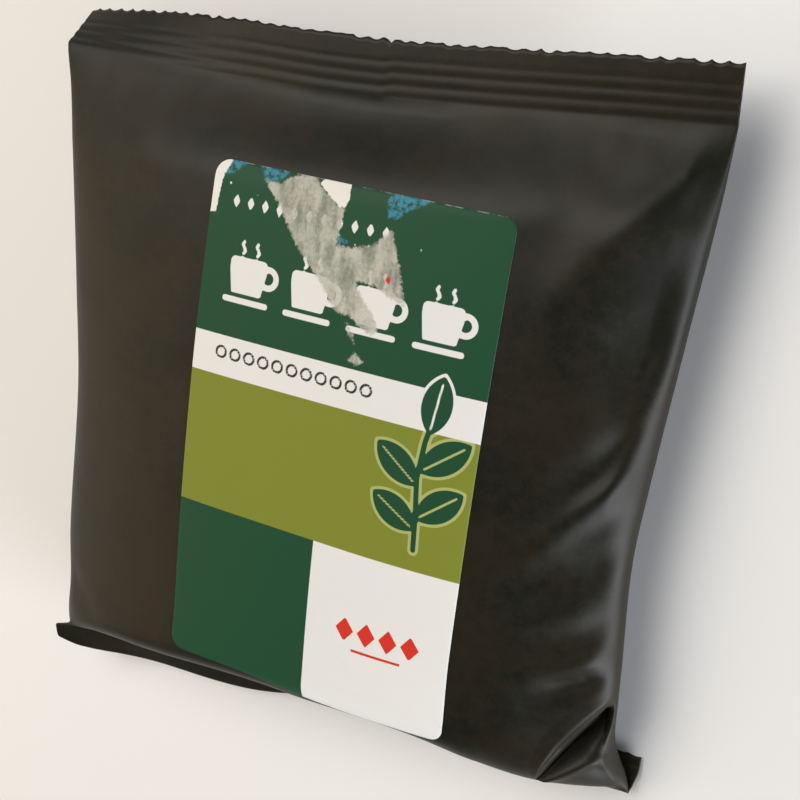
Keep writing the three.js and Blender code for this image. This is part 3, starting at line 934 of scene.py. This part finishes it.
# Noise scales of the label's finish, per 100 millimetres
FIBRE = 260
CLOUD = 35
SPECKLE = 700
TORN_NOISE = 130
BLUE_DOTS = 100
RIM_SPOTS = 45
RESIDUE_CLOUD = 26
RESIDUE_FUZZ = 150
RESIDUE_STREAKS = 45

# Worn rim and soft edges of the print in millimetres, how the residue's streaks lie, and roughness
RIM_WIDTH = 0.14
PRINT_SOFTNESS = 0.06
RIM_STRENGTH = 0.4
STREAK_TURN = math.radians(52)
STREAK_STRETCH = 0.3
BARE_ROUGHNESS = 0.95
FLOOR_ROUGHNESS = 0.75


def printed_colour(tree, place, colours):
    """The print's fields of colour with the stand-in marks on them."""
    split = add_node(tree, "SeparateXYZ", {0: place})
    across, along = split.outputs[0], split.outputs[1]
    fibre = noise_at(tree, place, FIBRE, 3, 0.6)
    cloud = noise_at(tree, place, CLOUD, 3, 0.6)
    green = blend(tree, fibre, colours.green_deep, colours.green)
    olive = blend(tree, fibre, colours.olive_deep, colours.olive)
    paper = blend(tree, cloud, colours.paper_shade, colours.paper)
    colour = blend(tree, side_of(tree, across, FOOT_SPLIT), green, paper)
    colour = blend(tree, side_of(tree, along, OLIVE_BOTTOM), colour, olive)
    above_olive = side_of(tree, along, BAND_BOTTOM)
    colour = blend(tree, above_olive, colour, paper)
    colour = blend(tree, side_of(tree, along, BAND_TOP), colour, green)
    line_colour = blend(tree, above_olive, colours.olive_line, paper)
    marks = {
        "sprig_outline": line_colour,
        "sprig": green,
        "vein": line_colour,
        "white_print": paper,
        "dark_print": colours.dark_ink,
        "red_print": colours.red_ink,
    }
    for name, ink in marks.items():
        colour = blend(tree, mask(tree, name), colour, ink)
    return colour


def label_material(colours):
    """Satin printed paper with its fields of colour, the stand-in print, and the wear of its top end."""
    material, tree, shader = new_material("printed_paper")
    place = add_node(tree, "UVMap", uv_map="label_mm").outputs[0]
    along = add_node(tree, "SeparateXYZ", {0: place}).outputs[1]
    colour = printed_colour(tree, place, colours)
    torn_noise = calculate(tree, "SUBTRACT", noise_at(tree, place, TORN_NOISE, 4, 0.7), 0.5)
    speckle = noise_at(tree, place, SPECKLE, 2)

    dots = ramp(tree, noise_at(tree, place, BLUE_DOTS, 3, 0.6), 0.36, 0.56)
    ragged = times(tree, torn_noise, 1.6)
    blue = times(tree, mask(tree, "blue", 0.35, ragged), dots)
    blue_colour = blend(tree, speckle, colours.blue_stain, colours.blue_light)
    colour = blend(tree, blue, colour, blue_colour)

    spots = ramp(tree, noise_at(tree, place, RIM_SPOTS, 3, 0.7), 0.45, 0.6, 0.0, RIM_STRENGTH)
    worn_rim = times(tree, side_of(tree, along, LABEL_LENGTH - RIM_WIDTH), spots)
    colour = blend(tree, worn_rim, colour, colours.paper_shade)

    residue_cloud = noise_at(tree, place, RESIDUE_CLOUD, 4, 0.65)
    fuzz = noise_at(tree, place, RESIDUE_FUZZ, 4, 0.7)
    turned = {"Vector": place, "Rotation": (0, 0, STREAK_TURN), "Scale": (1, STREAK_STRETCH, 1)}
    streaks = noise_at(tree, add_node(tree, "Mapping", turned).outputs[0], RESIDUE_STREAKS, 4, 0.6)
    tone = weighted(tree, (residue_cloud, 0.35), (streaks, 0.3), (fuzz, 0.35))
    tone = ramp(tree, tone, 0.36, 0.6)
    residue_colour = blend(tree, tone, colours.residue_shade, colours.residue)
    residue = mask(tree, "residue", 0.3, times(tree, torn_noise, 2.0))
    cover = times(tree, residue, ramp(tree, streaks, 0.34, 0.6, 0.66, 0.95))
    colour = blend(tree, cover, colour, residue_colour)
    torn = mask(tree, "torn", 0.08, times(tree, torn_noise, 0.8))
    colour = blend(tree, torn, colour, colours.bare_paper)
    red_spot = mask(tree, "red_spot", 0.12, times(tree, torn_noise, 0.5))
    colour = blend(tree, red_spot, colour, colours.red_ink)

    dull = calculate(tree, "MAXIMUM", cover, torn)
    fibre = noise_at(tree, place, FIBRE, 3, 0.6)
    satin = calculate(tree, "ADD", times(tree, fibre, 0.12), colours.paper_roughness - 0.06)
    rough = add_node(tree, "Mix", {0: dull, 2: satin, 3: BARE_ROUGHNESS}, data_type="FLOAT").outputs[0]
    felt = times(tree, dull, fuzz)
    relief = weighted(tree, (fibre, 0.25), (speckle, 0.1), (felt, 0.6))
    finish_shader(tree, shader, colour, rough, colours.paper_shine, relief, PAPER_BUMP)
    return material


def edge_painted_shade_material(colours):
    """The cut edge of the label, unprinted, painted a dark grey instead of its paper's own light colour:
    painted shade that makes the edge read as a dark shadow line.
    """
    material, tree, shader = new_material("paper_edge")
    place = add_node(tree, "TexCoord").outputs["Object"]
    fibre = noise_at(tree, place, EDGE_FIBRE, 3, 0.6)
    colour = blend(tree, fibre, colours.edge_shade, colours.edge)
    feed(tree, shader, {"Base Color": colour, "Roughness": BARE_ROUGHNESS})
    return material


def label_sheets(sizes):
    """Top and under side of the label on the film, and the place of each corner on the flat label."""
    columns = np.linspace(-LABEL_WIDTH / 2, LABEL_WIDTH / 2, LABEL_COLUMNS + 1)
    rows = np.linspace(-LABEL_LENGTH / 2, LABEL_LENGTH / 2, LABEL_ROWS + 1)
    across, along = round_corner(*np.meshgrid(columns, rows))
    cos, sin = math.cos(LABEL_TURN), math.sin(LABEL_TURN)
    x = LABEL_CENTRE[0] + across * cos - along * sin
    below = np.maximum(0, -2 * along / LABEL_LENGTH)
    slack = through(LABEL_SLACK, across) * below**2
    y = LABEL_CENTRE[1] + across * sin + along * cos + slack
    under = on_front(x, y)
    under[..., 2] += sizes.lift / MM
    flat_x = across + LABEL_WIDTH / 2
    flat_y = along + LABEL_LENGTH / 2
    wear = wear_outlines(flat_x, flat_y)
    lumps = RESIDUE_MEAN + soft_noise(flat_x, flat_y, *RESIDUE_LUMPS)
    raised = smoothstep(-wear["residue"], *RESIDUE_SLOPE) * lumps * sizes.residue_height / MM
    hollow = smoothstep(-wear["torn"], *TORN_SLOPE) * sizes.torn_depth / MM
    top = under.copy()
    top[..., 2] += sizes.thickness / MM + raised - hollow
    return top, under, flat_x, flat_y, wear


def length_property(name, description, value, longest, shortest=0):
    """A length setting; the numbers are in millimetres."""
    return bpy.props.FloatProperty(
        name=name, description=description, default=value * MM, min=shortest * MM, max=longest * MM,
        unit="LENGTH", precision=5,
    )


def share_property(name, description, value):
    return bpy.props.FloatProperty(name=name, description=description, default=value, min=0, max=1)


def power_property(name, description, value):
    return bpy.props.FloatProperty(name=name, description=description, default=value, unit="POWER")


def colour_property(name, description, value):
    return bpy.props.FloatVectorProperty(
        name=name, description=description, default=(*value, 1), size=4, min=0, max=1, subtype="COLOR",
    )


class BagSizes(bpy.types.PropertyGroup):
    rib_depth: length_property("Rib depth", "Depth of the crimped ribs of both fins", 0.07, 1)
    tooth_depth: length_property("Tooth depth", "Depth of the zigzag cut of both fins", 0.6, 2)
    wrinkle_height: length_property("Wrinkle height", "Height of the film's small unevenness", 0.32, 2)


class LabelSizes(bpy.types.PropertyGroup):
    lift: length_property("Lift", "Gap between the film and the label's under side", 0.05, 1)
    thickness: length_property("Thickness", "Thickness of the label's paper", 0.1, 1, 0.02)
    residue_height: length_property(
        "Residue height", "Thickness of the fuzzy paper left on the label", 0.05, 1,
    )
    torn_depth: length_property(
        "Torn depth", "Depth of the spots where the printed skin is torn off", 0.04, 0.1,
    )


class FilmFinish(bpy.types.PropertyGroup):
    film_colour: colour_property("Film", "Lighter warm tone of the film", (0.0150, 0.0115, 0.0052))
    shade_colour: colour_property("Film shade", "Darker cool tone of the film", (0.0064, 0.0073, 0.0041))
    dust_colour: colour_property("Dust", "Small specks of dust", (0.22, 0.21, 0.19))
    film_roughness: share_property("Roughness", "Mean roughness of the film", 0.47)
    film_shine: share_property("Shine", "Strength of the film's reflection", 0.23)


class LabelFinish(bpy.types.PropertyGroup):
    green: colour_property("Green", "Dark green print", (0.0138, 0.071, 0.0335))
    green_deep: colour_property("Deep green", "Darker tone of the green print", (0.0115, 0.062, 0.0290))
    olive: colour_property("Olive", "Olive print", (0.208, 0.242, 0.033))
    olive_deep: colour_property("Deep olive", "Darker tone of the olive print", (0.188, 0.218, 0.028))
    olive_line: colour_property("Light olive", "Outlines of the sprig on olive", (0.38, 0.43, 0.15))
    paper: colour_property("Paper", "White print field", (0.75, 0.75, 0.745))
    paper_shade: colour_property("Paper shade", "Darker tone of the white field", (0.725, 0.725, 0.715))
    bare_paper: colour_property("Bare paper", "Paper where the print is torn off", (0.78, 0.77, 0.74))
    residue: colour_property("Residue", "Fuzzy paper left by another sticker", (0.53, 0.52, 0.46))
    residue_shade: colour_property("Residue shade", "Thin parts of the fuzzy paper", (0.30, 0.30, 0.255))
    # The cut edge colours are painted shade: far darker than the paper, so the label's edge reads as a dark
    # shadow line.
    edge: colour_property("Cut edge", "Paper at the label's cut edge", (0.20, 0.21, 0.19))
    edge_shade: colour_property("Cut edge shade", "Darker tone of the cut edge", (0.12, 0.13, 0.12))
    dark_ink: colour_property("Dark ink", "Marks on the white band", (0.03, 0.035, 0.03))
    red_ink: colour_property("Red ink", "Marks on the white field", (0.62, 0.035, 0.022))
    blue_stain: colour_property("Blue", "Ink left by another sticker", (0.01, 0.14, 0.24))
    blue_light: colour_property("Light blue", "Worn parts of the blue ink", (0.08, 0.32, 0.42))
    paper_roughness: share_property("Roughness", "Roughness of the print", 0.5)
    paper_shine: share_property("Shine", "Strength of the print's reflection", 0.14)


class StageLook(bpy.types.PropertyGroup):
    floor_colour: colour_property("Floor", "Colour of the plain floor", (0.81, 0.81, 0.82))
    floor_shade: colour_property("Floor shade", "Darker tone of the floor", (0.77, 0.77, 0.78))
    zenith_colour: colour_property("Surround above", "Colour of the surround overhead", (0.05, 0.05, 0.055))
    horizon_colour: colour_property(
        "Surround below", "Colour of the surround near the floor", (0.30, 0.31, 0.32),
    )
    key_power: power_property("Key light", "Power of the large soft light above the bag's top end", 14)
    glow_power: power_property("Warm glow", "Power of the wide warm light on the left", 6.3)
    side_power: power_property("Side light", "Power of the low cool light on the right", 14)


class COFFEE_BAG_OT_film(bpy.types.Operator):
    """Model the filled bag with its ribbed fins, creases and corner fold"""

    bl_idname = "coffee_bag.film"
    bl_label = "Make bag"

    def execute(self, context):
        shell = bag_shell(context.scene.coffee_bag_sizes)
        bag = finished_piece(shell, "film_bag", film_material(context.scene.coffee_bag_film))
        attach(bag, "root")
        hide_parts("bag")
        return {"FINISHED"}


class COFFEE_BAG_OT_label(bpy.types.Operator):
    """Model the paper label with its print and its worn top end"""

    bl_idname = "coffee_bag.label"
    bl_label = "Make label"

    def execute(self, context):
        colours = context.scene.coffee_bag_label_finish
        top, under, flat_x, flat_y, wear = label_sheets(context.scene.coffee_bag_label_sizes)
        rows, columns = flat_x.shape
        sheet = divided_slab(columns, rows)
        self.mark(sheet, flat_x, flat_y, wear)
        move_corners(sheet, top, under)
        label = finished_piece(sheet, "paper_label", label_material(colours))
        # The label's cut edge gets the painted shade material, dark grey in place of the paper's colour.
        label.data.materials.append(edge_painted_shade_material(colours))
        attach(label, "root")
        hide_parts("label")
        return {"FINISHED"}

    def mark(self, sheet, flat_x, flat_y, wear):
        """Writes each corner's place on the flat label and its distances to print and wear."""
        rows, columns = flat_x.shape
        sprig = sprig_print(flat_x, flat_y)
        fields = {
            "white_print": white_print(flat_x, flat_y),
            "dark_print": dark_print(flat_x, flat_y),
            "sprig": sprig,
            "sprig_outline": sprig - SPRIG_OUTLINE,
            "vein": vein_print(flat_x, flat_y),
            "red_print": red_print(flat_x, flat_y),
            **wear,
        }
        layers = {name: sheet.verts.layers.float.new(name) for name in fields}
        flat_place = sheet.loops.layers.uv.new("label_mm")
        places = {}
        for corner in sheet.verts:
            column, row = grid_place(corner, columns, rows)
            places[corner] = (round(row), round(column))
        for corner, place in places.items():
            for name, layer in layers.items():
                corner[layer] = fields[name][place]
        for face in sheet.faces:
            # Faces of the cut edge take the second material, which paints them in dark shade.
            if len({corner.co.z > 0.5 for corner in face.verts}) > 1:
                face.material_index = 1
            for loop in face.loops:
                place = places[loop.vert]
                loop[flat_place].uv = Vector((flat_x[place], flat_y[place])) * MM * LABEL_UV


class COFFEE_BAG_OT_stage(bpy.types.Operator):
    """Set up the pale floor, the soft lights and the camera"""

    bl_idname = "coffee_bag.stage"
    bl_label = "Make stage"

    def execute(self, context):
        look = context.scene.coffee_bag_stage
        self.floor(look)
        self.surround(context.scene, look)
        for name, place, size, colour in LAMPS:
            self.light(name, place, size, getattr(look, name + "_power"), colour)
        self.camera(context.scene)
        context.scene.view_settings.view_transform = "Standard"
        return {"FINISHED"}

    def floor(self, look):
        bm = bmesh.new()
        bmesh.ops.create_grid(bm, x_segments=2, y_segments=2, size=1.6)
        material, tree, shader = new_material("pale_floor")
        place = add_node(tree, "TexCoord").outputs["Object"]
        tone = ramp(tree, noise_at(tree, place, 6), 0.3, 0.7, 0.985, 1.0)
        colour = blend(tree, tone, look.floor_shade, look.floor_colour)
        feed(tree, shader, {"Base Color": colour, "Roughness": FLOOR_ROUGHNESS})
        finished_piece(bm, "floor", material)

    def surround(self, scene, look):
        world = bpy.data.worlds.new("surround")
        world.use_nodes = True
        tree = world.node_tree
        direction = add_node(tree, "TexCoord").outputs["Generated"]
        height = ramp(tree, add_node(tree, "SeparateXYZ", {0: direction}).outputs[2], 0.0, 0.6)
        colour = blend(tree, height, look.horizon_colour, look.zenith_colour)
        tree.links.new(colour, tree.nodes["Background"].inputs["Color"])
        scene.world = world

    def light(self, name, place, size, power, colour):
        """A rectangular soft light that shines at the bag's middle."""
        lamp = bpy.data.lights.new(name, "AREA")
        lamp.shape = "RECTANGLE"
        lamp.size, lamp.size_y = size[0] * MM, size[1] * MM
        lamp.energy = power
        lamp.color = colour
        holder = bpy.data.objects.new(name, lamp)
        holder.location = Vector(place) * MM
        holder.rotation_euler = (-Vector(place)).to_track_quat("-Z", "Y").to_euler()
        bpy.context.scene.collection.objects.link(holder)

    def camera(self, scene):
        right = Vector(CAMERA_RIGHT)
        up = -Vector(CAMERA_DOWN)
        turn = Matrix((right, up, right.cross(up))).transposed().to_4x4()
        lens = bpy.data.cameras.new("camera")
        lens.sensor_width = SENSOR
        lens.lens = SENSOR * FOCAL_PIXELS / PICTURE_SIZE
        lens.clip_start = 10 * MM
        eye = bpy.data.objects.new("camera", lens)
        eye.matrix_world = Matrix.Translation(Vector(CAMERA_PLACE) * MM) @ turn
        scene.collection.objects.link(eye)
        scene.camera = eye


class COFFEE_BAG_PT_panel(bpy.types.Panel):
    """Steps that make the coffee bag"""

    bl_label = "Coffee bag"
    bl_idname = "COFFEE_BAG_PT_panel"
    bl_space_type = "VIEW_3D"
    bl_region_type = "UI"
    bl_category = "Coffee bag"

    def draw(self, context):
        for operator in OPERATORS:
            self.layout.operator(operator.bl_idname)
        for name in SETTINGS:
            group = getattr(context.scene, name)
            box = self.layout.box()
            for key in group.__annotations__:
                box.prop(group, key)


OPERATORS = [COFFEE_BAG_OT_film, COFFEE_BAG_OT_label, COFFEE_BAG_OT_stage]
SETTINGS = {
    "coffee_bag_sizes": BagSizes,
    "coffee_bag_film": FilmFinish,
    "coffee_bag_label_sizes": LabelSizes,
    "coffee_bag_label_finish": LabelFinish,
    "coffee_bag_stage": StageLook,
}


def register():
    for group in SETTINGS.values():
        bpy.utils.register_class(group)
    for name, group in SETTINGS.items():
        setattr(bpy.types.Scene, name, bpy.props.PointerProperty(type=group))
    for operator in OPERATORS:
        bpy.utils.register_class(operator)
    bpy.utils.register_class(COFFEE_BAG_PT_panel)


def unregister():
    bpy.utils.unregister_class(COFFEE_BAG_PT_panel)
    for operator in reversed(OPERATORS):
        bpy.utils.unregister_class(operator)
    for name, group in SETTINGS.items():
        delattr(bpy.types.Scene, name)
        bpy.utils.unregister_class(group)


def main():
    register()
    bpy.ops.coffee_bag.film()
    bpy.ops.coffee_bag.label()
    bpy.ops.coffee_bag.stage()


if __name__ == "__main__":
    main()
